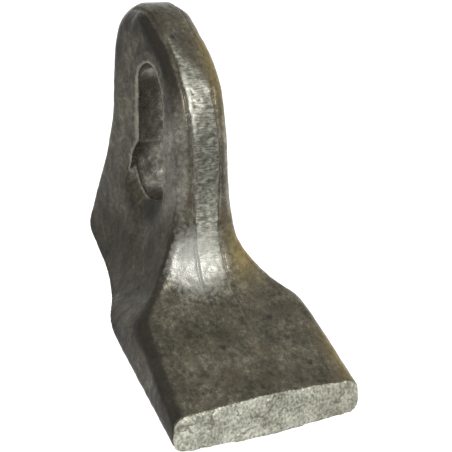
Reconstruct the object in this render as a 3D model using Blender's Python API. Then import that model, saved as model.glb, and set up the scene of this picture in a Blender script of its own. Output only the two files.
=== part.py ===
"""Hammer flail: one closed-die steel forging that swings on a rotor pin.

The forging is symmetric about the plane x = 0, the parting plane of the dies.
The flat shank stands in that plane, and its keyhole slot passes through it along x.
The wide head crosses the foot of the shank and runs forwards (-y) and down to a cropped end.
The origin is the seat of the rotor pin: the centre of the arc at the slot's upper end.
"""

import math

import bmesh
import bpy
from mathutils import Vector
from mathutils.geometry import delaunay_2d_cdt, interpolate_bezier, intersect_point_line

MM = 0.001

# Slot, measured from the pin seat at the origin
SEAT_RADIUS = 6.5 * MM
SLOT_WIDTH = 16.0 * MM
SLOT_LEAN = math.radians(31.0)
LEAN_RADIUS = 24.0 * MM
EYE_DIAMETER = 20.6 * MM
EYE_DROP = 28.8 * MM
EYE_SET_BACK = 0.9 * MM

# Shank
SHANK_THICKNESS = 20.2 * MM
SHANK_FRONT = 20.4 * MM
SHANK_REAR = 25.3 * MM
WAIST_DROP = 7.0 * MM
CROWN_HEIGHT = 26.0 * MM
CROWN_RADIUS = 12.2 * MM
CROWN_SET_BACK = 10.2 * MM
CROWN_LEAN = math.radians(45.0)
NECK_LEAN = math.radians(12.0)
LEAN_START = 0.6
FLASH_WIDTH = 9.4 * MM
LEAN_FLASH_WIDTH = 13.0 * MM
CROWN_FLASH_WIDTH = 6.8 * MM

# Heel, behind the foot of the shank
HEEL_REACH = 41.8 * MM
HEEL_DROP = 53.0 * MM
HEEL_RADIUS = 6.0 * MM
HEEL_LEAN = math.radians(24.0)
HEEL_SLOPE = math.radians(34.0)

# Head
HEAD_REACH = 56.4 * MM
HEAD_DROP = 107.7 * MM
HEAD_WIDTH = 72.8 * MM
SIDE_SPLAY = math.radians(5.4)
END_HEIGHT = 13.4 * MM
TOP_SLOPE = math.radians(42.5)
UNDER_SLOPE = math.radians(31.6)
UNDER_LENGTH = 42.0 * MM
INSTEP_RADIUS = 30.0 * MM

# Flare between the shank's faces and the head's sides
FLARE_RADIUS = 49.4 * MM
FLARE_DROP = 31.9 * MM
FLARE_FALL = math.radians(17.2)
SHOULDER_BLEND = 6.0 * MM

# Rounded edges: how far each runs in from the outline. Across, it runs further in this ratio
CROWN_ROUND = 8.2 * MM
LEAN_ROUND = 3.4 * MM
FRONT_ROUND = 2.6 * MM
INSTEP_ROUND = 1.6 * MM
REAR_ROUND = 4.2 * MM
HEAD_ROUND = 2.5 * MM
UNDER_ROUND = 2.0 * MM
END_LOW_ROUND = 3.4 * MM
ROUND_RATIO = 1.4
HEAD_DRAFT = 1.0 * MM
TRIM_LAND = 0.8 * MM

# Scoop sunk in each face round the slot's eye: how much wider, lower and further back it opens
SCOOP_MARGIN = 0.9 * MM
SCOOP_FALL = 6.7 * MM
SCOOP_SHIFT = 1.3 * MM
SCOOP_DEPTH = 2.6 * MM

# How far the handles at each curve's two ends reach, as a part of the curve's span
LEAN_PULLS = (0.56, 0.34)
NECK_PULLS = (0.33, 0.33)
REAR_PULLS = (0.30, 0.42)
UNDER_PULLS = (0.36, 0.34)

# How finely the curves are divided, and how far a cutter runs past what it cuts
SAME_POINT = 1e-4
ARC_STEP = math.radians(6.0)
CURVE_STEPS = 14
TOP_STEPS = 6
UNDER_STEPS = 8
ROUND_STEPS = 5
ROUND_START = math.radians(12.0)
FACE_STEP = 3.4 * MM
FACE_CLEARANCE = 0.6 * FACE_STEP
OVERRUN = 3.0 * MM
SMOOTH_BELOW = math.radians(32.0)

half_shank = SHANK_THICKNESS / 2
half_flash = FLASH_WIDTH / 2
half_head = HEAD_WIDTH / 2
head_slope = (TOP_SLOPE + UNDER_SLOPE) / 2
end_low = Vector((-HEAD_REACH, -HEAD_DROP))
end_top = Vector((-HEAD_REACH, -HEAD_DROP + END_HEIGHT))

for old in list(bpy.data.objects):
    bpy.data.objects.remove(old, do_unlink=True)


def heading(angle):
    return Vector((math.cos(angle), math.sin(angle)))


def arc(centre, radius, start, end):
    """Points of an arc, from one angle to the other, both ends included."""
    count = max(2, round(abs(end - start) / ARC_STEP))
    return [centre + radius * heading(start + (end - start) * i / count) for i in range(count + 1)]


def curve(start, start_way, end, end_way, pulls):
    """Points of a smooth curve that leaves start along start_way and reaches end along end_way."""
    span = (end - start).length
    handle = start + start_way * span * pulls[0]
    last_handle = end - end_way * span * pulls[1]
    return [Vector(p[:2]) for p in interpolate_bezier(start, handle, last_handle, end, CURVE_STEPS)]


def ease(a, b, t):
    """A value that runs smoothly from a to b as t goes from 0 to 1."""
    t = min(max(t, 0.0), 1.0)
    return a + (b - a) * t * t * (3 - 2 * t)


def side_outline():
    """The outline in the parting plane as (y, z) points, and how far its edge is rounded in at each."""
    points = []
    rounds = []

    def add(new, inset):
        for point in new:
            if not points or (point - points[-1]).length > 0.1 * MM:
                points.append(point)
                rounds.append(inset(point) if callable(inset) else inset)

    # Head's top face, from beyond the cropped end up to the instep
    top_way = heading(TOP_SLOPE)
    meet = end_top + top_way * ((HEAD_REACH - SHANK_FRONT) / math.cos(TOP_SLOPE))
    tangent = INSTEP_RADIUS * math.tan((math.pi / 2 - TOP_SLOPE) / 2)
    instep = meet - top_way * tangent + INSTEP_RADIUS * heading(TOP_SLOPE + math.pi / 2)
    crown = Vector((CROWN_SET_BACK, CROWN_HEIGHT - CROWN_RADIUS))

    def front_round(p):
        foot = meet.y - tangent * math.sin(TOP_SLOPE)
        low = ease(HEAD_ROUND, INSTEP_ROUND, (p.y - foot) / tangent)
        middle = ease(low, FRONT_ROUND, (p.y - meet.y) / (instep.y - meet.y))
        return ease(middle, LEAN_ROUND, (p.y - instep.y) / -instep.y)

    def crown_round(p):
        turned = math.atan2(p.y - crown.y, p.x - crown.x)
        front = ease(CROWN_ROUND, LEAN_ROUND, (turned - math.pi / 2) / (math.pi / 4))
        return ease(front, REAR_ROUND, 1 - turned / (math.pi / 2))

    square_off = 2 * OVERRUN + END_HEIGHT * math.sin(head_slope)
    add([end_top - top_way * square_off, end_top], HEAD_ROUND)
    add([end_top.lerp(meet - top_way * tangent, i / TOP_STEPS) for i in range(1, TOP_STEPS)], HEAD_ROUND)
    add(arc(instep, INSTEP_RADIUS, TOP_SLOPE - math.pi / 2, 0), front_round)

    # Front edge, which leans back into the crown
    up = Vector((0, 1))
    lean_start = Vector((-SHANK_FRONT, instep.y * LEAN_START))
    crown_front = crown + CROWN_RADIUS * heading(math.pi / 2 + CROWN_LEAN)
    add([Vector((-SHANK_FRONT, instep.y)).lerp(lean_start, 0.5)], front_round)
    add(curve(lean_start, up, crown_front, heading(CROWN_LEAN), LEAN_PULLS), front_round)
    add(arc(crown, CROWN_RADIUS, math.pi / 2 + CROWN_LEAN, NECK_LEAN), crown_round)

    # Rear edge, down to the heel
    waist = Vector((SHANK_REAR, -WAIST_DROP))
    heel = Vector((HEEL_REACH - HEEL_RADIUS, -HEEL_DROP))
    heel_top = heel + HEEL_RADIUS * heading(HEEL_LEAN)

    def heel_round(p):
        return ease(UNDER_ROUND, REAR_ROUND, (p.y - heel.y) / (waist.y - heel.y))

    add(curve(points[-1], heading(NECK_LEAN - math.pi / 2), waist, -up, NECK_PULLS), REAR_ROUND)
    add(curve(waist, -up, heel_top, heading(HEEL_LEAN - math.pi / 2), REAR_PULLS), heel_round)

    # Heel and underside
    under_way = heading(UNDER_SLOPE)
    arch = end_low + under_way * UNDER_LENGTH
    add(arc(heel, HEEL_RADIUS, HEEL_LEAN, HEEL_SLOPE - math.pi / 2), UNDER_ROUND)
    add(curve(points[-1], -heading(HEEL_SLOPE), arch, -under_way, UNDER_PULLS), UNDER_ROUND)

    def end_round(p):
        return ease(UNDER_ROUND, END_LOW_ROUND, (arch.y - p.y) / (arch.y - end_low.y))

    add([arch.lerp(end_low, i / UNDER_STEPS) for i in range(1, UNDER_STEPS + 1)], end_round)
    add([end_low - under_way * 2 * OVERRUN], END_LOW_ROUND)
    return points, rounds


def inward(points):
    """The way into the outline at each of its points, one unit deep at a straight or a mitred corner."""
    area = sum(a.x * b.y - b.x * a.y for a, b in zip(points, points[1:] + points[:1]))
    side = math.copysign(1, area)
    normals = []
    for i, point in enumerate(points):
        back = (point - points[i - 1]).normalized()
        ahead = (points[(i + 1) % len(points)] - point).normalized()
        way = (back + ahead).normalized()
        normals.append(Vector((-way.y, way.x)) * side / way.dot(ahead))
    return normals


def half_width(p):
    """How far the forging's side stands from the parting plane: shank face, flare or head side."""
    run = (p - (end_low + end_top) / 2).dot(heading(head_slope))
    side = half_head - run * math.tan(SIDE_SPLAY)
    below = -FLARE_DROP - math.tan(FLARE_FALL) * (p.x + SHANK_FRONT) - p.y
    below = min(max(below, 0.0), FLARE_RADIUS)
    flare = half_shank + FLARE_RADIUS - math.sqrt(FLARE_RADIUS**2 - below**2)
    near = max(SHOULDER_BLEND - abs(side - flare), 0.0) / SHOULDER_BLEND
    return min(side, flare) - near**2 * SHOULDER_BLEND / 4


def flash_half_width(p):
    """Half the trimmed band's width: widest where the front edge leans, and narrow over the crown."""
    lean = ease(FLASH_WIDTH, LEAN_FLASH_WIDTH, 1 + p.y / EYE_DROP)
    top = ease(lean, CROWN_FLASH_WIDTH, (p.y - SEAT_RADIUS) / (CROWN_HEIGHT - SEAT_RADIUS))
    return ease(top, FLASH_WIDTH, (p.x - CROWN_SET_BACK) / CROWN_RADIUS) / 2


def face_points(rim):
    """Points spread evenly inside a rim, clear of it."""
    inside = []
    low_y, high_y = min(p.x for p in rim), max(p.x for p in rim)
    low_z, high_z = min(p.y for p in rim), max(p.y for p in rim)
    row_gap = FACE_STEP * math.sqrt(3) / 2
    edges = list(zip(rim, rim[1:] + rim[:1]))
    for row in range(1, int((high_z - low_z) / row_gap) + 1):
        z = low_z + row * row_gap
        y = low_y + FACE_STEP * (0.5 if row % 2 else 0.0)
        while y < high_y:
            point = Vector((y, z))
            y += FACE_STEP
            crossings = 0
            clear = True
            for a, b in edges:
                if (a.y > z) != (b.y > z) and point.x < a.x + (z - a.y) * (b.x - a.x) / (b.y - a.y):
                    crossings += 1
                along = intersect_point_line(point, a, b)[1]
                foot = a.lerp(b, min(max(along, 0.0), 1.0))
                clear = clear and (point - foot).length > FACE_CLEARANCE
            if clear and crossings % 2:
                inside.append(point)
    return inside


def forged_body():
    """The whole forging before it is cropped and pierced: a trimmed band, rounded edges and two faces."""
    points, rounds = side_outline()
    normals = inward(points)
    widths = [half_width(p + n * r) for p, n, r in zip(points, normals, rounds)]
    profiles = []
    for point, width, inset in zip(points, widths, rounds):
        band = flash_half_width(point)
        across = min(ROUND_RATIO * inset, width - band - TRIM_LAND)
        wall = width - across
        draft = HEAD_DRAFT * (wall - band) / (half_head - band)
        profile = [(band, 0.0), (wall, draft)]
        for i in range(1, ROUND_STEPS + 1):
            angle = ROUND_START + (math.pi / 2 - ROUND_START) * i / ROUND_STEPS
            out = (math.sin(angle) - math.sin(ROUND_START)) / (1 - math.sin(ROUND_START))
            into = 1 - math.cos(angle) / math.cos(ROUND_START)
            profile.append((wall + across * out, draft + inset * into))
        profiles.append(profile)

    bm = bmesh.new()
    last = {}
    bands = {}
    for side in (-1, 1):
        loops = []
        for k in range(ROUND_STEPS + 2):
            loop = []
            for p, n, profile in zip(points, normals, profiles):
                x, inset = profile[k]
                moved = p + n * inset
                loop.append(bm.verts.new((side * x, moved.x, moved.y)))
            loops.append(loop)
        for low, high in zip(loops, loops[1:]):
            for i, j in pairs(len(low)):
                bm.faces.new((low[i], low[j], high[j], high[i]))
        bands[side] = loops[0]
        last[side] = loops[-1]
    for i, j in pairs(len(points)):
        bm.faces.new((bands[-1][i], bands[-1][j], bands[1][j], bands[1][i]))

    rim = [Vector((v.co.y, v.co.z)) for v in last[1]]
    middle = face_points(rim)
    plane = [p / MM for p in rim + middle]
    corners, _, triangles, sources, _, _ = delaunay_2d_cdt(plane, [], [list(range(len(rim)))], 1, SAME_POINT)
    for side in (-1, 1):
        verts = []
        for corner, source in zip(corners, sources):
            if source and source[0] < len(rim):
                verts.append(last[side][source[0]])
            else:
                p = corner * MM
                verts.append(bm.verts.new((side * half_width(p), p.x, p.y)))
        for triangle in triangles:
            bm.faces.new([verts[i] for i in triangle])
    return solid("hammer_forging", bm)


def pairs(count):
    """The index of each point of a ring with that of the next."""
    return [(i, (i + 1) % count) for i in range(count)]


def solid(name, bm):
    """An object made from the bmesh, with its rounds shaded smooth and its corners kept sharp."""
    bmesh.ops.recalc_face_normals(bm, faces=bm.faces)
    mesh = bpy.data.meshes.new(name)
    bm.to_mesh(mesh)
    bm.free()
    mesh.shade_smooth()
    mesh.set_sharp_from_angle(angle=SMOOTH_BELOW)
    made = bpy.data.objects.new(name, mesh)
    bpy.context.collection.objects.link(made)
    return made


def helper(name, rings):
    """A solid, bridged from ring to ring and capped, that only cuts another one."""
    bm = bmesh.new()
    loops = [[bm.verts.new(p) for p in ring] for ring in rings]
    for low, high in zip(loops, loops[1:]):
        for i, j in pairs(len(low)):
            bm.faces.new((low[i], low[j], high[j], high[i]))
    bm.faces.new(loops[0])
    bm.faces.new(loops[-1])
    made = solid(name, bm)
    made.hide_render = True
    made.display_type = "WIRE"
    return made


def cut(target, other):
    modifier = target.modifiers.new(other.name, "BOOLEAN")
    modifier.operation = "DIFFERENCE"
    modifier.solver = "EXACT"
    modifier.object = other


def end_crop():
    """The block that squares off the head's end."""
    width = half_head + 2 * OVERRUN
    front = -HEAD_REACH - 2 * END_HEIGHT
    low = end_low.y - 2 * END_HEIGHT
    high = end_top.y + END_HEIGHT
    ring = [(front, low), (-HEAD_REACH, low), (-HEAD_REACH, high), (front, high)]
    return helper("end_crop", [[Vector((x, y, z)) for y, z in ring] for x in (-width, width)])


def keyhole():
    """The slot: an arc that seats the pin, a front wall that leans back to it, and the wider eye below."""
    eye = EYE_DIAMETER / 2
    eye_centre = Vector((EYE_SET_BACK, -EYE_DROP))
    front_wall = SEAT_RADIUS - SLOT_WIDTH
    front_meet = math.acos(max(-1.0, (front_wall - eye_centre.x) / eye))
    rear_meet = math.acos(min(1.0, (SEAT_RADIUS - eye_centre.x) / eye))
    # The lean's arc is tangent to the front wall below and to the leaning line above
    lean_start = SEAT_RADIUS * heading(math.pi - SLOT_LEAN)
    lean_way = heading(math.pi * 1.5 - SLOT_LEAN)
    bend_depth = LEAN_RADIUS * (1 - math.cos(SLOT_LEAN))
    reach = (lean_start.x - front_wall - bend_depth) / math.sin(SLOT_LEAN)
    bend_top = lean_start + lean_way * reach
    bend_centre = bend_top - LEAN_RADIUS * heading(math.pi - SLOT_LEAN)
    points = arc(Vector((0, 0)), SEAT_RADIUS, 0, math.pi - SLOT_LEAN)
    points += arc(bend_centre, LEAN_RADIUS, math.pi - SLOT_LEAN, math.pi)
    points += arc(eye_centre, eye, front_meet, 2 * math.pi + rear_meet)
    out = half_shank + OVERRUN
    return helper("keyhole", [[Vector((x, p.x, p.y)) for p in points] for x in (-out, out)])


def scoop(side):
    """The sunk ring round the eye on one face: a cone that leans down and opens outwards."""
    eye = EYE_DIAMETER / 2
    eye_centre = Vector((EYE_SET_BACK, -EYE_DROP))
    scoop_centre = eye_centre + Vector((SCOOP_SHIFT, -SCOOP_FALL))
    inner = arc(eye_centre, eye, 0, 2 * math.pi)[:-1]
    outer = arc(scoop_centre, eye + SCOOP_MARGIN, 0, 2 * math.pi)[:-1]
    grow = 1 + OVERRUN / SCOOP_DEPTH
    beyond = [a + (b - a) * grow for a, b in zip(inner, outer)]
    rings = [[Vector((side * (half_shank - SCOOP_DEPTH), p.x, p.y)) for p in inner]]
    rings.append([Vector((side * (half_shank + OVERRUN), p.x, p.y)) for p in beyond])
    return helper("scoop_left" if side < 0 else "scoop_right", rings)


def forged_steel():
    material = bpy.data.materials.new("forged_steel")
    material.use_nodes = True
    surface = material.node_tree.nodes["Principled BSDF"]
    surface.inputs["Base Color"].default_value = (0.095, 0.085, 0.068, 1.0)
    surface.inputs["Metallic"].default_value = 0.75
    surface.inputs["Roughness"].default_value = 0.5
    return material


forging = forged_body()
cut(forging, end_crop())
cut(forging, keyhole())
cut(forging, scoop(-1))
cut(forging, scoop(1))
forging.data.materials.append(forged_steel())
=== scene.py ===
# %% [markdown]
# # A forged hammer flail
#
# This is the swinging hammer of a flail mower, one solid steel forging. Hot steel was squeezed between
# two dies, the thin flash that ran out between them was trimmed off along the edge, and the bar end was
# cropped off. Each of those steps left its own finish: dark scale, a bright trimmed band and a grainy end.

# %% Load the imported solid
import math

import bpy
import numpy as np
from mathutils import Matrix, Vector


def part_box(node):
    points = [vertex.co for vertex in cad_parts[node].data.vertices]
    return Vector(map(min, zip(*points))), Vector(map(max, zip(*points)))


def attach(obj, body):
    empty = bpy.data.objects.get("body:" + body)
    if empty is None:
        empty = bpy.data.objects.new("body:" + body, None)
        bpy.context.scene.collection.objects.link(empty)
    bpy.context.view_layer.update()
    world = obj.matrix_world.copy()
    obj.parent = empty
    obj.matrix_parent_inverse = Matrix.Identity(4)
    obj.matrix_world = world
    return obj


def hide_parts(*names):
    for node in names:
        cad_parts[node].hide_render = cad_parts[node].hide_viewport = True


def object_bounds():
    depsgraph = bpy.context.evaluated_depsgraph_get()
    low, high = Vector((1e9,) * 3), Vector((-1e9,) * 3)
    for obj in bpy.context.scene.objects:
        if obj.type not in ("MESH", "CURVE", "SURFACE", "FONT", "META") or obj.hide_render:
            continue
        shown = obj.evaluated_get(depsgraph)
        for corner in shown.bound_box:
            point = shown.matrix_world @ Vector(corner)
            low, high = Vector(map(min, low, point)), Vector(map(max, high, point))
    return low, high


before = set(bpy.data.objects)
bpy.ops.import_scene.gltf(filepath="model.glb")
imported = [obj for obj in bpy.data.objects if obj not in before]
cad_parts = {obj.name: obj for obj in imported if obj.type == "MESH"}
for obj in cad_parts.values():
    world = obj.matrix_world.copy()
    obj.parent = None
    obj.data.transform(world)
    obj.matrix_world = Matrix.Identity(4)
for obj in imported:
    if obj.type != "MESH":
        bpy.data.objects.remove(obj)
solid_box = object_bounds()
MM = 0.001
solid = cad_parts["hammer_forging"]
low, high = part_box("hammer_forging")
print("the solid runs from", tuple(low), "to", tuple(high))

# %% [markdown]
# ## Camera
#
# A short telephoto lens stands a little above the hammer and to the left of its cropped end. The camera
# could be aimed with a Track To constraint, but a rotation worked out once leaves nothing live behind.
# It looks at a point just ahead of the shank's foot, which puts the whole forging in the frame.

# %% Place the camera
AZIMUTH = math.radians(-34.75)
ELEVATION = math.radians(11.57)
AIM = Vector((0.0, -31.37, -43.75)) * MM
DISTANCE = 463.5 * MM
LENS = 114.7
SENSOR_WIDTH = 36.0
NEAREST = 10 * MM

back = Vector((
    math.sin(AZIMUTH) * math.cos(ELEVATION),
    -math.cos(AZIMUTH) * math.cos(ELEVATION),
    math.sin(ELEVATION),
))
facing = (-back).to_track_quat("-Z", "Y").to_euler()
bpy.ops.object.camera_add(location=AIM + back * DISTANCE, rotation=facing)
camera = bpy.context.active_object
camera.name = "studio_camera"
camera.data.lens = LENS
camera.data.sensor_width = SENSOR_WIDTH
camera.data.clip_start = NEAREST
bpy.context.scene.camera = camera
print("camera at", tuple(round(x, 3) for x in camera.location))

# %% [markdown]
# ## The forging's skin
#
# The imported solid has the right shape, but it is built of flat facets, and a metal surface shows each one
# as a change in its reflection. The skin could be modelled again from a cube, but then it would only be
# near the real shape. A copy of the solid keeps the shape exactly: its doubled points are merged, its
# real corners are creased, and Subdivision Surface turns the facets between them into smooth curves.

# %% Copy the solid and smooth its facets
CORNER = math.radians(33)
DOUBLED = 0.01 * MM


def activate(piece):
    """Makes one object the active and only selected one."""
    bpy.ops.object.select_all(action="DESELECT")
    piece.select_set(True)
    bpy.context.view_layer.objects.active = piece


def apply_modifier(piece, kind, **settings):
    """Adds a modifier with these settings and applies it."""
    activate(piece)
    modifier = piece.modifiers.new(kind.lower(), kind)
    for name, value in settings.items():
        setattr(modifier, name, value)
    bpy.ops.object.modifier_apply(modifier=modifier.name)


skin = bpy.data.objects.new("hammer_skin", solid.data.copy())
bpy.context.scene.collection.objects.link(skin)
activate(skin)
bpy.ops.object.mode_set(mode="EDIT")
bpy.ops.mesh.select_mode(type="VERT")
bpy.ops.mesh.select_all(action="SELECT")
bpy.ops.mesh.remove_doubles(threshold=DOUBLED)
bpy.ops.mesh.normals_make_consistent(inside=False)
bpy.ops.mesh.select_mode(type="EDGE")
bpy.ops.mesh.select_all(action="DESELECT")
bpy.ops.mesh.edges_select_sharp(sharpness=CORNER)
bpy.ops.transform.edge_crease(value=1.0)
bpy.ops.object.mode_set(mode="OBJECT")
print("copied", len(skin.data.vertices), "points")
apply_modifier(skin, "SUBSURF", levels=2, render_levels=2)
print("subdivided to", len(skin.data.polygons), "faces")

# %% [markdown]
# ## An even grid of faces
#
# Relief needs points everywhere, well under a millimetre apart. Subdividing again would crowd them where
# the facets are small and starve the wide faces. A voxel remesh lays an even grid over the whole skin
# instead, and a few rounds of smoothing take off its steps and break each edge a little.

# %% Remesh
GRID = 0.7 * MM
apply_modifier(skin, "REMESH", mode="VOXEL", voxel_size=GRID)
apply_modifier(skin, "SMOOTH", factor=0.5, iterations=4)
print("remeshed to", len(skin.data.polygons), "faces")

# %% [markdown]
# ## Measuring by place
#
# Every later step works on a region: the trimmed flash band, the cropped end, the rims. They could be
# painted by hand, but a rule made of places and normals is short and gives the same region every time.
# Each measure below gives one number for each point of the skin, in millimetres. The tables hold the
# band's two borders, as pairs of a height and a distance from the middle plane.

# %% Read points and measure regions
END_PLANE = low.y / MM
SLOT_SEAT = Vector((0.0, 0.0))
SLOT_FOOT = Vector((0.9, -28.8))
SLOT_REACH = 12.4
BAND_FOOT = -88
LEFT_BORDER = ((-64, 4.3), (-47, 4.3), (-20, 4.9), (2, 6.1), (10, 5.6), (17, 6.0), (25, 7.6))
RIGHT_BORDER = ((-64, 5.4), (-56, 5.2), (-47, 4.3), (-20, 5.2), (-4, 4.0), (2, 4.3), (10, 5.4), (25, 5.0))
LEFT_WOBBLE = (0.22, 9.0, 0.4)
RIGHT_WOBBLE = (0.18, 7.0, 2.1)
HEAD_BACK = 12
SIDE_NORMAL = 0.75


def points_of(piece):
    """Each point's place in millimetres, and its normal."""
    count = len(piece.data.vertices)
    places = np.zeros(count * 3)
    normals = np.zeros(count * 3)
    piece.data.vertices.foreach_get("co", places)
    piece.data.vertices.foreach_get("normal", normals)
    return places.reshape(-1, 3) / MM, normals.reshape(-1, 3)


def ease(start, end, value):
    """0 before start, 1 after end, and a smooth curve between them."""
    share = np.clip((value - start) / (end - start), 0.0, 1.0)
    return share * share * (3 - 2 * share)


def slot_distance(places):
    """How far each point lies from the slot's middle line, seen from the side."""
    along = np.array(SLOT_FOOT - SLOT_SEAT)
    offset = places[:, 1:] - np.array(SLOT_SEAT)
    share = np.clip(offset @ along / (along @ along), 0.0, 1.0)
    return np.linalg.norm(offset - share[:, None] * along, axis=1)


def border(height, table, wobble):
    """A border's distance from the middle plane at each height, with a slow irregular wobble."""
    reach, wave, phase = wobble
    turns = height / wave * 2 * np.pi
    swing = np.sin(turns + phase) + 0.6 * np.sin(2.3 * turns + 2 * phase) + 0.4 * np.sin(5.1 * turns)
    return np.interp(height, *zip(*table)) + reach * (swing / 2)


def band_inside(places):
    """How far inside the trimmed flash band a point lies, across the forging. It is negative outside."""
    left = border(places[:, 2], LEFT_BORDER, LEFT_WOBBLE)
    right = border(places[:, 2], RIGHT_BORDER, RIGHT_WOBBLE)
    return np.minimum(places[:, 0] + left, right - places[:, 0])


def on_front(places, normals):
    """True for points of the forging's outer front edge and the head's top, and not of the slot."""
    edge_on = np.abs(normals[:, 0]) < SIDE_NORMAL
    forward = normals[:, 2] - 1.2 * normals[:, 1] > 0.3
    return edge_on & forward & (slot_distance(places) > SLOT_REACH) & (places[:, 1] < HEAD_BACK)


places, normals = points_of(skin)
print(int(on_front(places, normals).sum()), "of", len(places), "points face the front")

# %% [markdown]
# ## A finer grid on the worked faces
#
# The trimmed band and the cropped end carry the smallest marks, so their faces are selected by place and
# divided once more in edit mode. Dividing everything would cost four times as many faces.

# %% Divide the band and the end
BAND_MARGIN = 2.0
END_MARGIN = 1.5


def select_faces(piece, chosen_points):
    """Selects the faces whose corners are all chosen, and leaves the piece in edit mode."""
    activate(piece)
    bpy.ops.object.mode_set(mode="EDIT")
    bpy.ops.mesh.select_mode(type="FACE")
    bpy.ops.mesh.select_all(action="DESELECT")
    bpy.ops.object.mode_set(mode="OBJECT")
    for face in piece.data.polygons:
        face.select = all(chosen_points[i] for i in face.vertices)
    bpy.ops.object.mode_set(mode="EDIT")


band = on_front(places, normals) & (band_inside(places) > -BAND_MARGIN) & (places[:, 2] > BAND_FOOT)
cropped = places[:, 1] < END_PLANE + END_MARGIN
select_faces(skin, band | cropped)
bpy.ops.mesh.subdivide(number_cuts=1)
bpy.ops.object.mode_set(mode="OBJECT")
apply_modifier(skin, "TRIANGULATE")
activate(skin)
bpy.ops.object.shade_smooth()
print("divided to", len(skin.data.polygons), "triangles")

# %% [markdown]
# ## Groups for the relief
#
# The trimming die leaves the flash band standing a little proud behind a groove, hammered scale covers
# the rest, and the cropped end is torn. Weight painting would mark these regions by hand. Here each
# becomes a vertex group whose weights come from the measures above, so that one kind fades into the next.

# %% Paint the groups
NOT_ON_FRONT = -9.0
FOOT_SLOPE = 0.5
GROOVE_PLACE = -0.45
GROOVE_WIDTH = 0.45
LEAST_WEIGHT = 0.001


def paint_group(piece, name, weights):
    """Makes a vertex group that holds every point with a weight worth having."""
    group = piece.vertex_groups.new(name=name)
    chosen = np.nonzero(weights > LEAST_WEIGHT)[0]
    for i in chosen:
        group.add((int(i),), float(weights[i]), "REPLACE")
    print("group", name, "holds", len(chosen), "points")


places, normals = points_of(skin)
inside = np.where(on_front(places, normals), band_inside(places), NOT_ON_FRONT)
inside = np.minimum(inside, (places[:, 2] - BAND_FOOT) * FOOT_SLOPE)
toward_end = places[:, 1] - END_PLANE
flash = ease(-0.25, 0.35, inside) * ease(-80, -52, places[:, 2])
groove = np.exp(-((inside - GROOVE_PLACE) / GROOVE_WIDTH) ** 2) * ease(BAND_FOOT, -64, places[:, 2])
paint_group(skin, "forged", 1 - ease(2.0, 0.4, toward_end))
paint_group(skin, "flash", flash)
paint_group(skin, "groove", groove)
paint_group(skin, "cropped", ease(0.9, 0.2, toward_end))
paint_group(skin, "crop_rim", ease(2.5, 0.5, toward_end))

# %% [markdown]
# ## Relief
#
# A forging is never flat. Worn dies leave broad waves, scale leaves small pits, and cropping leaves torn
# grain and a ragged rim. Sculpting would shape them by eye. Displace modifiers do it by rule: each one
# pushes one group of points by a texture's value. The torn grain is pushed mostly inwards, because
# tearing takes steel away.

# %% Push the points
FLASH_HEIGHT = 0.28 * MM
GROOVE_DEPTH = 0.3 * MM
TORN_LEVEL = 0.12


def relief(piece, name, size, depth, group, direction="NORMAL", level=0.5, octaves=2):
    """Displaces a group of points by cloud noise with features of the given size."""
    texture = bpy.data.textures.new(name, "CLOUDS")
    texture.noise_scale = size
    texture.noise_depth = octaves
    apply_modifier(piece, "DISPLACE", texture=texture, texture_coords="LOCAL", strength=depth,
                   mid_level=level, vertex_group=group, direction=direction)


apply_modifier(skin, "DISPLACE", strength=FLASH_HEIGHT, mid_level=0.0, vertex_group="flash")
apply_modifier(skin, "DISPLACE", strength=-GROOVE_DEPTH, mid_level=0.0, vertex_group="groove")
relief(skin, "die_wear", 14 * MM, 0.7 * MM, "forged")
relief(skin, "scale_pits", 2.4 * MM, 0.22 * MM, "forged", octaves=3)
relief(skin, "torn_grain", 3.0 * MM, 1.1 * MM, "cropped", direction="Y", level=TORN_LEVEL)
relief(skin, "fine_grain", 0.9 * MM, 0.45 * MM, "cropped", direction="Y")
relief(skin, "ragged_rim", 5.0 * MM, 0.9 * MM, "crop_rim", direction="Z")
pushed, _ = points_of(skin)
moved = np.linalg.norm(pushed - places, axis=1)
print("points moved by", moved.mean().round(2), "mm on average and", moved.max().round(2), "mm at most")

# %% [markdown]
# ## Keep the outer size
#
# The solid is the size that other parts are built to, so nothing that was pushed outwards may pass its
# box. Cutting off what stands out would leave flats. Each coordinate is slowed down instead over the
# last fraction of a millimetre before the limit, so that high spots are pressed down and stay round.

# %% Press the high spots down
GIVE = 0.4


def slowed(distance):
    """How far a point still gets when it runs the distance against a limit that gives way softly."""
    return GIVE * (1 - np.exp(-distance / GIVE))


box_low, box_high = (np.array(corner) / MM for corner in solid_box)
over = np.maximum(pushed - (box_high - GIVE), 0)
under = np.maximum((box_low + GIVE) - pushed, 0)
pressed = pushed - over + slowed(over) + under - slowed(under)
skin.data.vertices.foreach_set("co", (pressed * MM).ravel())
skin.data.update()
print("high spots pressed down by at most", round(float(np.abs(pressed - pushed).max()), 2), "mm")

# %% [markdown]
# ## Rims and hollows
#
# Rims are painted bright, partly as wear and partly as a painted glint, and hollows get painted shade, so
# the finishes need to know where they are. A bevel could be measured by the shader, but an exported
# material has no such node. Here the skin is compared with a smoothed copy of itself: a rim stands out of
# the copy. A few rounds find sharp rims, and many rounds find the broad swell of a corner. The result is
# stored as an attribute, one number for each point.

# %% Find the rims
NEAR_ROUNDS = 14
FAR_ROUNDS = 66


def smoothed(piece, places, rounds):
    """The places after each point has moved rounds times to the middle of its neighbours."""
    edges = np.zeros(len(piece.data.edges) * 2, dtype=int)
    piece.data.edges.foreach_get("vertices", edges)
    a, b = edges.reshape(-1, 2).T
    from_point, to_point = np.concatenate((a, b)), np.concatenate((b, a))
    count = np.bincount(from_point, minlength=len(places))
    for _ in range(rounds):
        totals = [np.bincount(from_point, places[to_point, k], len(places)) for k in range(3)]
        places = np.stack(totals, axis=1) / count[:, None]
    return places


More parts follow.
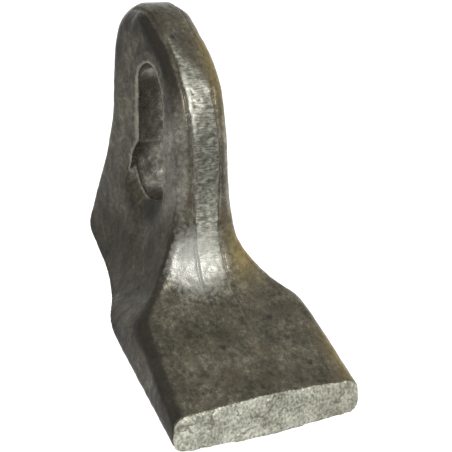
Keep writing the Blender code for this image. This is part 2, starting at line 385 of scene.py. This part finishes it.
def store(piece, name, values):
    """Keeps one number for each point, which a material reads with an Attribute node."""
    attribute = piece.data.attributes.new(name, "FLOAT", "POINT")
    attribute.data.foreach_set("value", np.asarray(values, dtype=np.float32))
    print("attribute", name, "from", round(float(values.min()), 2), "to", round(float(values.max()), 2))


final_places, final_normals = points_of(skin)
near = smoothed(skin, final_places, NEAR_ROUNDS)
far = smoothed(skin, near, FAR_ROUNDS)
rim = ((final_places - near) * final_normals).sum(axis=1)
swell = ((final_places - far) * final_normals).sum(axis=1)
store(skin, "rim", np.clip(rim, -1, 1))

# %% [markdown]
# ## Painted shade and light on the scale
#
# Scale isn't the same all over, and some of what differs is light. Painted shade darkens the hollow below
# the slot, the flanks, the crown and the head's left corner, and painted light brightens the shank's front
# leg.
# The scale is thin inside the slot. A painted highlight brightens the foot's fillet and the band's left
# border, and painted warm reflections tint a few places yellow brown. These could be painted on an image,
# but an image needs unwrapping. Smooth windows of height and normal, and clouds round a point, mark them
# well enough.

# %% Store the regions
SCOOP = ((0, -1, -43), (60, 10, 7))
FILLET = ((-5, -24, -56), (11, 12, 10))
# Painted warm reflections: these places are tinted gold where the warm card on the right is mirrored.
WARM_SPOTS = (
    ((13, -22, -55), (7, 10, 9)),
    ((8, -12, 10), (4, 12, 16)),
    ((35, -48, -88), (5, 14, 12)),
)
END_JOIN = 0.6


def cloud(centre, spread):
    """1 at a centre, falling away smoothly over the given spread along each axis."""
    return np.exp(-(((final_places - np.array(centre)) / np.array(spread)) ** 2).sum(axis=1))


ahead, up = final_places[:, 1], final_places[:, 2]
on_left = final_places[:, 0] < 0
sideways = np.abs(final_normals[:, 0])
from_slot = slot_distance(final_places)
flank = ease(0.4, 0.8, sideways)
# Painted shade: the next four measures mark where the scale is painted darker as shade, on the flanks, in
# the hollow below the slot, on the head's left corner and on the crown.
valley = (0.05 + 0.42 * ease(-10, -50, up) * ease(-100, -76, up)) * flank
scoop = cloud(*SCOOP) * flank * ease(-30, -36, up)
corner = 0.9 * ease(0.5, 1.1, swell) * ease(-40, -52, up) * (toward_end > 1) * on_left
crown = ease(-16, 6, up) * ease(0.2, 0.7, swell) * (from_slot > SLOT_REACH - 2) * ease(0.2, 0.45, sideways)
crown = np.maximum(crown, 0.22 * ease(4, 14, up))
# Painted light: the front leg is painted lighter where it mirrors the bright floor.
leg_painted_light = ease(0.15, 0.4, sideways) * ease(-48, -36, up) * ease(0, -16, up) * ease(-8, -12, ahead)
foot = flank * ease(-34, -56, up) * (0.1 + 0.9 * ease(-90, -68, up))
# Painted highlight: the fillet and the band's left border are painted lighter where the key box is
# mirrored.
glint = np.exp(-((inside - 1.0) / 0.9) ** 2) * on_left * ease(9, 2, up) * ease(-24, -8, up)
painted_highlight = np.maximum(cloud(*FILLET) * ease(0.8, 0.6, sideways), 0.7 * glint)
store(skin, "band_inside", np.clip(inside, -4, 6))
store(skin, "end_inside", np.clip(END_JOIN - toward_end, -3, 1))
store(skin, "painted_shade", np.clip(np.maximum.reduce([valley, scoop, corner, crown]), 0, 1))
store(skin, "leg_painted_light", leg_painted_light)
store(skin, "sheltered", np.maximum(scoop, foot))
store(skin, "in_slot", ease(13.0, 11.5, from_slot) * ease(0.8, 0.4, sideways))
store(skin, "painted_highlight", painted_highlight)
store(skin, "warm_reflection", np.clip(sum(cloud(*warm_spot) for warm_spot in WARM_SPOTS), 0, 1))

# %% [markdown]
# ## Building a finish from nodes
#
# A finish is a small picture worked out at each point: how dark, how rough, how bumpy. Image textures
# would need unwrapping and would blur close up. Noise in the object's own coordinates needs neither. A
# few helpers keep the node tree short enough to read.

# %% Node helpers
steel = bpy.data.materials.new("forged_steel")
steel.use_nodes = True
tree = steel.node_tree
surface = tree.nodes["Principled BSDF"]
place = tree.nodes.new("ShaderNodeTexCoord").outputs["Object"]


def feed(socket, value):
    """Gives an input a number, a vector, an opaque colour or another node's output."""
    if isinstance(value, bpy.types.NodeSocket):
        tree.links.new(value, socket)
    elif socket.type == "RGBA":
        socket.default_value = (*value, 1.0)
    else:
        socket.default_value = value


def node(kind, feeds, **settings):
    """Adds a node. feeds maps its inputs to what they are given."""
    made = tree.nodes.new("ShaderNode" + kind)
    for name, value in settings.items():
        setattr(made, name, value)
    for key, value in feeds.items():
        feed(made.inputs[key], value)
    return made


def plus(a, b):
    return node("Math", {0: a, 1: b}, operation="ADD").outputs[0]


def minus(a, b):
    return node("Math", {0: a, 1: b}, operation="SUBTRACT").outputs[0]


def times(a, b):
    return node("Math", {0: a, 1: b}, operation="MULTIPLY").outputs[0]


def mapped(size, stretch):
    """The object's coordinates in units of a size in metres, times the stretch along each axis."""
    return node("Mapping", {"Vector": place, "Scale": [1 / (size * s) for s in stretch]}).outputs[0]


def noise(size, detail=3.0, roughness=0.55, stretch=(1, 1, 1), distortion=0.0):
    """Noise whose features are about this size."""
    feeds = {"Vector": mapped(size, stretch), "Scale": 1.0, "Detail": detail}
    feeds.update({"Roughness": roughness, "Distortion": distortion})
    return node("TexNoise", feeds).outputs["Fac"]


def spots(size):
    """The distance to the nearest of many scattered points, about this far apart."""
    feeds = {"Vector": mapped(size, (1, 1, 1)), "Scale": 1.0}
    return node("TexVoronoi", feeds, feature="F1").outputs["Distance"]


def window(value, start, end, low=0.0, high=1.0):
    """Remaps a value that runs from start to end, smoothly, to run from low to high."""
    feeds = {0: value, 1: start, 2: end, 3: low, 4: high}
    return node("MapRange", feeds, interpolation_type="SMOOTHSTEP").outputs[0]


def stored(name):
    """Reads one of the skin's attributes."""
    return node("Attribute", {}, attribute_name=name).outputs["Fac"]


def mixed(factor, a, b):
    """Mixes two colours or two numbers: a where factor is 0, b where it is 1."""
    is_colour = any(getattr(v, "type", "") == "RGBA" or isinstance(v, tuple) for v in (a, b))
    made = node("Mix", {}, data_type="RGBA" if is_colour else "FLOAT")
    first, second, result = (6, 7, 2) if is_colour else (2, 3, 0)
    for key, value in ((0, factor), (first, a), (second, b)):
        feed(made.inputs[key], value)
    return made.outputs[result]


def ramp(value, stops):
    """A colour ramp through (position, colour) stops."""
    made = node("ValToRGB", {"Fac": value})
    band = made.color_ramp
    while len(band.elements) < len(stops):
        band.elements.new(0.5)
    for element, (position, colour) in zip(band.elements, stops):
        element.position = position
        element.color = (*colour, 1.0)
    return made.outputs["Color"]


print("the finish starts with", len(tree.nodes), "nodes")

# %% [markdown]
# ## Mill scale
#
# Steel at forging heat grows a dark oxide skin. Hammering breaks it, presses some of it in and leaves
# blotches of grey, brown and near black, with small pits between them. Three sizes of noise added
# together give such a mottle at every distance. The same mottle with lighter tones makes thin scale inside
# the slot, and painted light on the shank's front leg.

# %% Mill scale
SCALE_TONES = (
    (0.40, (0.028, 0.025, 0.018)),
    (0.475, (0.051, 0.046, 0.033)),
    (0.54, (0.077, 0.070, 0.050)),
    (0.61, (0.138, 0.127, 0.094)),
)
# Lighter tones: thin scale in the slot, and painted light on the front leg.
THIN_AND_LIT_SCALE_TONES = (
    (0.42, (0.085, 0.078, 0.064)),
    (0.50, (0.142, 0.133, 0.113)),
    (0.60, (0.225, 0.213, 0.183)),
)
RUST_BROWN = (0.057, 0.046, 0.031)
PIT_BLACK = (0.014, 0.013, 0.012)

blotch = noise(8 * MM, detail=4, roughness=0.6)
fleck = noise(1.5 * MM, detail=4, roughness=0.65)
grain = noise(0.55 * MM, detail=2)
scale_tone = plus(plus(times(blotch, 0.42), times(fleck, 0.4)), times(grain, 0.18))
brown = window(noise(6 * MM, detail=3), 0.5, 0.68, high=0.6)
pit = window(plus(spots(10 * MM), times(fleck, 0.16)), 0.13, 0.22, low=0.75, high=0.0)
scale_colour = mixed(brown, ramp(scale_tone, SCALE_TONES), RUST_BROWN)
scale_colour = mixed(pit, scale_colour, PIT_BLACK)
thin_and_lit_scale = ramp(scale_tone, THIN_AND_LIT_SCALE_TONES)
scale_rough = window(fleck, 0.3, 0.7, low=0.36, high=0.24)
scale_rough = mixed(stored("sheltered"), scale_rough, 0.62)
scale_height = plus(times(fleck, 0.75), times(grain, 0.3))
print("with mill scale the finish has", len(tree.nodes), "nodes")

# %% [markdown]
# ## Painted shade and light, and where the scale differs
#
# Painted shade, rims worn bright with a painted glint, painted shade in hollows, painted warm reflections,
# painted light and painted highlights all lie on the scale, so they are mixed over it one after another.
# The stored regions are smooth, and a smooth edge looks sprayed on. Noise is added to a region before it is
# cut off, which frays its edge the way a real one is frayed.

# %% Painted shade, wear and painted light
# Colours for painted shade, worn rims with a painted glint, painted shade in hollows, a painted warm
# reflection and a painted highlight, in this order.
SHADE_COLOUR = (0.018, 0.016, 0.013)
WORN_AND_GLINT_STEEL = (0.30, 0.29, 0.25)
HOLLOW_SHADE_BROWN = (0.035, 0.030, 0.026)
WARM_REFLECTION_GOLD = (0.150, 0.118, 0.050)
HIGHLIGHT_STEEL = (0.27, 0.27, 0.245)

uneven = minus(fleck, 0.5)
# Masks for painted shade, worn rims with a painted glint, painted shade in hollows, a painted highlight and
# a painted warm reflection.
painted_shade = stored("painted_shade")
rim_height = stored("rim")
# Rims lightened: partly wear, partly a painted glint.
worn_and_glinting = window(plus(rim_height, times(uneven, 0.5)), 0.34, 0.6)
worn_and_glinting = times(worn_and_glinting, window(painted_shade, 0.2, 0.7, low=1.0, high=0.0))
# Painted shade in hollows.
hollow_shade = window(rim_height, -0.05, -0.35)
highlight_region = stored("painted_highlight")
painted_highlight = window(plus(highlight_region, times(uneven, 0.8)), 0.05, 0.85)
painted_highlight = times(painted_highlight, window(highlight_region, 0.0, 0.15))
warm_reflection = times(stored("warm_reflection"), window(fleck, 0.3, 0.6, low=0.45))
# In order: painted light on the front leg, painted shade, worn rims with a painted glint, painted shade in
# hollows, a painted warm reflection, thin scale in the slot and a painted highlight.
forged_colour = mixed(times(stored("leg_painted_light"), 0.85), scale_colour, thin_and_lit_scale)
forged_colour = mixed(times(painted_shade, 0.92), forged_colour, SHADE_COLOUR)
forged_colour = mixed(times(worn_and_glinting, 0.4), forged_colour, WORN_AND_GLINT_STEEL)
forged_colour = mixed(times(hollow_shade, 0.5), forged_colour, HOLLOW_SHADE_BROWN)
forged_colour = mixed(warm_reflection, forged_colour, WARM_REFLECTION_GOLD)
forged_colour = mixed(times(stored("in_slot"), 0.9), forged_colour, thin_and_lit_scale)
forged_colour = mixed(painted_highlight, forged_colour, HIGHLIGHT_STEEL)
forged_rough = mixed(painted_highlight, scale_rough, window(grain, 0.35, 0.65, low=0.42, high=0.26))
print("with soot and wear the finish has", len(tree.nodes), "nodes")

# %% [markdown]
# ## Trimmed steel
#
# The trimming die shears the flash away and drags fine lines across the cut, from one side of the
# forging to the other. Scratches could be drawn one by one. Noise stretched along that way does the
# same, because its grains become short lines. At the middle of its height the band gets painted shade from
# a darker copy of its tones, and a painted highlight lightens it at the fillet and along its left border.

# %% Trimmed steel
BRIGHT_TRIM_TONES = (
    (0.37, (0.070, 0.068, 0.056)),
    (0.5, (0.165, 0.163, 0.137)),
    (0.63, (0.34, 0.34, 0.29)),
)
# A darker copy of the trim's tones, for painted shade.
SHADED_TRIM_TONES = (
    (0.38, (0.036, 0.035, 0.028)),
    (0.5, (0.082, 0.080, 0.066)),
    (0.62, (0.160, 0.158, 0.132)),
)
# The band's painted highlight colour.
HIGHLIGHT_TRIM = (0.36, 0.36, 0.32)

axes = node("SeparateXYZ", {"Vector": place}).outputs
drag = noise(0.42 * MM, detail=2, roughness=0.6, stretch=(8, 1, 1), distortion=0.2)
smear = noise(1.2 * MM, detail=4, roughness=0.6, stretch=(1.6, 1, 1))
trim_tone = plus(times(drag, 0.4), times(smear, 0.6))
# Painted shade darkens the band's middle height, and a painted highlight lightens it at the fillet and the
# left border.
trim_shade = times(window(axes["Z"], -0.045, -0.030), window(axes["Z"], 0.002, -0.016))
trim_colour = mixed(times(trim_shade, 0.8), ramp(trim_tone, BRIGHT_TRIM_TONES), ramp(trim_tone, SHADED_TRIM_TONES))
trim_colour = mixed(times(painted_highlight, 0.7), trim_colour, HIGHLIGHT_TRIM)
trim_rough = window(smear, 0.3, 0.7, low=0.42, high=0.28)
trim_height = times(drag, 1.1)
print("with trimmed steel the finish has", len(tree.nodes), "nodes")

# %% [markdown]
# ## Cropped steel
#
# Cropping tears the bar rather than cutting it. The torn face is clean grey metal made of small facets
# that each catch the light, crossed by a few darker tears. A tear follows one contour line of a broad
# noise, and is left out where a second noise is low, so that tears start and stop.

# %% Cropped steel
CROP_TONES = (
    (0.38, (0.13, 0.128, 0.102)),
    (0.5, (0.27, 0.272, 0.222)),
    (0.62, (0.44, 0.448, 0.38)),
)
CROP_STAIN = (0.12, 0.11, 0.07)
TEAR_BROWN = (0.10, 0.09, 0.07)

facet = noise(1.0 * MM, detail=3, roughness=0.6)
patch = noise(6 * MM, detail=2)
facet_tone = plus(times(facet, 0.55), times(patch, 0.45))
contour = minus(noise(9 * MM, detail=3, roughness=0.5, stretch=(1.8, 1, 1)), 0.5)
contour = node("Math", {0: contour}, operation="ABSOLUTE").outputs[0]
crack = times(window(contour, 0.004, 0.018, low=1.0, high=0.0), window(noise(7 * MM), 0.44, 0.52))
stained = window(axes["X"], 0.008, 0.034, high=0.3)
crop_colour = mixed(stained, ramp(facet_tone, CROP_TONES), CROP_STAIN)
crop_colour = mixed(times(crack, 0.7), crop_colour, TEAR_BROWN)
crop_rough = window(facet, 0.3, 0.7, low=0.55, high=0.38)
crop_height = minus(times(facet, 1.6), crack)
print("with cropped steel the finish has", len(tree.nodes), "nodes")

# %% [markdown]
# ## One steel
#
# The finishes belong to one piece of metal, so they share one shader. Separate material slots would meet
# along the edges of triangles. Mixing by the stored distances, jittered by noise, lets the bare steel
# begin and end along an irregular line instead.

# %% Join the finishes
SCALE_METAL = 0.85
CROP_METAL = 0.9
BUMP_STRENGTH = 0.5
BUMP_DEPTH = 0.14 * MM
LEAN = 1.6

ragged = times(minus(noise(1.6 * MM, detail=3), 0.5), 1.3)
lean_over = plus(axes["Z"], times(axes["X"], LEAN))
bare_top = window(plus(lean_over, times(ragged, 5 * MM)), 0.001, 0.010, low=1.0, high=0.0)
bare_foot = window(plus(axes["Z"], times(ragged, 6 * MM)), -0.068, -0.052)
bare = window(plus(stored("band_inside"), ragged), 0.0, 0.35)
bare = times(times(bare, bare_top), bare_foot)
end = window(plus(stored("end_inside"), times(ragged, 0.25)), 0.0, 0.25)
feed(surface.inputs["Base Color"], mixed(end, mixed(bare, forged_colour, trim_colour), crop_colour))
feed(surface.inputs["Metallic"], mixed(end, mixed(bare, SCALE_METAL, 1.0), CROP_METAL))
feed(surface.inputs["Roughness"], mixed(end, mixed(bare, forged_rough, trim_rough), crop_rough))
bump_height = mixed(end, mixed(bare, scale_height, trim_height), crop_height)
bump = node("Bump", {"Strength": BUMP_STRENGTH, "Distance": BUMP_DEPTH, "Height": bump_height})
feed(surface.inputs["Normal"], bump.outputs["Normal"])

skin.data.materials.clear()
skin.data.materials.append(steel)
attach(skin, "root")
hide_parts("hammer_forging")
print("the finish has", len(tree.nodes), "nodes")

# %% [markdown]
# ## Studio
#
# Metal shows what stands round it. The forging hangs above a pale floor that curves up into a low pale
# wall all round, as in a light tent, so its lower faces mirror something bright. A plane and a backdrop
# would leave dark gaps at the sides. Here a round floor's rim is extruded outwards and upwards in steps.

# %% Floor and wall
FLOOR = -170 * MM
SWEEP_RADIUS = 2.6
WALL_HEIGHT = 0.75
CURVE_RADIUS = 0.5
CURVE_STEPS = 10

flat_radius = SWEEP_RADIUS - CURVE_RADIUS
bpy.ops.object.select_all(action="DESELECT")
bpy.ops.mesh.primitive_circle_add(vertices=96, radius=flat_radius, fill_type="NGON", location=(0, 0, FLOOR))
sweep = bpy.context.active_object
sweep.name = "studio_sweep"
bpy.ops.object.mode_set(mode="EDIT")
bpy.ops.mesh.select_mode(type="EDGE")
bpy.ops.mesh.select_all(action="SELECT")
for i in range(1, CURVE_STEPS + 1):
    bpy.ops.mesh.extrude_region_move()
    turn = math.pi / 2 * i / CURVE_STEPS
    last = math.pi / 2 * (i - 1) / CURVE_STEPS
    rise = CURVE_RADIUS * (math.cos(last) - math.cos(turn))
    growth = (flat_radius + CURVE_RADIUS * math.sin(turn)) / (flat_radius + CURVE_RADIUS * math.sin(last))
    bpy.ops.transform.resize(value=(growth, growth, 1), center_override=(0, 0, 0))
    bpy.ops.transform.translate(value=(0, 0, rise))
bpy.ops.mesh.extrude_region_move()
bpy.ops.transform.translate(value=(0, 0, WALL_HEIGHT - CURVE_RADIUS))
bpy.ops.object.mode_set(mode="OBJECT")
bpy.ops.object.shade_smooth()
print("the floor and wall have", len(sweep.data.polygons), "faces")

# %% [markdown]
# ## Paper
#
# The tent's paper is lit from behind, so it glows evenly. It is dimmer behind and to the left, where the
# forging's flank would otherwise mirror a white wall and lose its dark colour. Lamps behind the paper
# could do that too, but a glow that depends on direction is simpler and has no noise.

# %% Pale paper
PAPER_GREY = (0.30, 0.30, 0.30, 1)
PAPER_GLOW = (1, 1, 0.99, 1)
DIM_SIDE = (-0.57, 0.82, 0.0)
DIM_START, DIM_END = 0.55, 0.92
FULL_GLOW, DIM_GLOW = 0.95, 0.64

pale = bpy.data.materials.new("pale_paper")
pale.use_nodes = True
nodes, links = pale.node_tree.nodes, pale.node_tree.links
paper = nodes["Principled BSDF"]
paper.inputs["Base Color"].default_value = PAPER_GREY
paper.inputs["Roughness"].default_value = 0.9
paper.inputs["Emission Color"].default_value = PAPER_GLOW
sweep.data.materials.append(pale)

way_out = nodes.new("ShaderNodeVectorMath")
way_out.operation = "NORMALIZE"
links.new(nodes.new("ShaderNodeTexCoord").outputs["Object"], way_out.inputs[0])
toward = nodes.new("ShaderNodeVectorMath")
toward.operation = "DOT_PRODUCT"
toward.inputs[1].default_value = DIM_SIDE
links.new(way_out.outputs["Vector"], toward.inputs[0])
dimmer = nodes.new("ShaderNodeMapRange")
dimmer.interpolation_type = "SMOOTHSTEP"
for socket, value in zip(dimmer.inputs[1:5], (DIM_START, DIM_END, FULL_GLOW, DIM_GLOW)):
    socket.default_value = value
links.new(toward.outputs["Value"], dimmer.inputs[0])
links.new(dimmer.outputs[0], paper.inputs["Emission Strength"])
print("the paper glows from", FULL_GLOW, "down to", DIM_GLOW)

# %% [markdown]
# ## Lights
#
# Above the wall the room is dim, so that the scale stays dark. A small soft box in front is mirrored by
# the fillet and the leaning band, a wide one overhead by the head's top, and a warm card on the right
# tints the right side. Each was placed where the face it lights mirrors it towards the camera. A bare
# lamp would leave hard spots instead.

# %% Lights
LIT_POINT = Vector((0, -10, -45)) * MM
ROOM_COLOUR = (1.0, 0.98, 0.94, 1)
ROOM_STRENGTH = 0.06


def soft_box(name, direction, distance, size, power, colour=(1, 1, 1)):
    """A square area light that faces the forging's middle, with sizes in metres and power in watts."""
    way = Vector(direction).normalized()
    facing = way.to_track_quat("Z", "Y").to_euler()
    bpy.ops.object.light_add(type="AREA", location=LIT_POINT + way * distance, rotation=facing)
    light = bpy.context.active_object
    light.name = name
    light.data.size = size
    light.data.energy = power
    light.data.color = colour
    print(name, "stands at", tuple(round(x, 2) for x in light.location), "with", power, "W")


soft_box("key_box", (0.30, -0.82, 0.46), 1.3, 0.50, 8)
soft_box("top_box", (0.56, -0.14, 0.83), 1.5, 1.3, 2.4, (1.0, 0.95, 0.84))
soft_box("warm_card", (1.0, -0.15, 0.25), 1.2, 0.7, 1.4, (1.0, 0.80, 0.42))

world = bpy.data.worlds.new("studio_room")
world.use_nodes = True
room = world.node_tree.nodes["Background"]
room.inputs["Color"].default_value = ROOM_COLOUR
room.inputs["Strength"].default_value = ROOM_STRENGTH
bpy.context.scene.world = world
bpy.context.scene.view_settings.view_transform = "Standard"
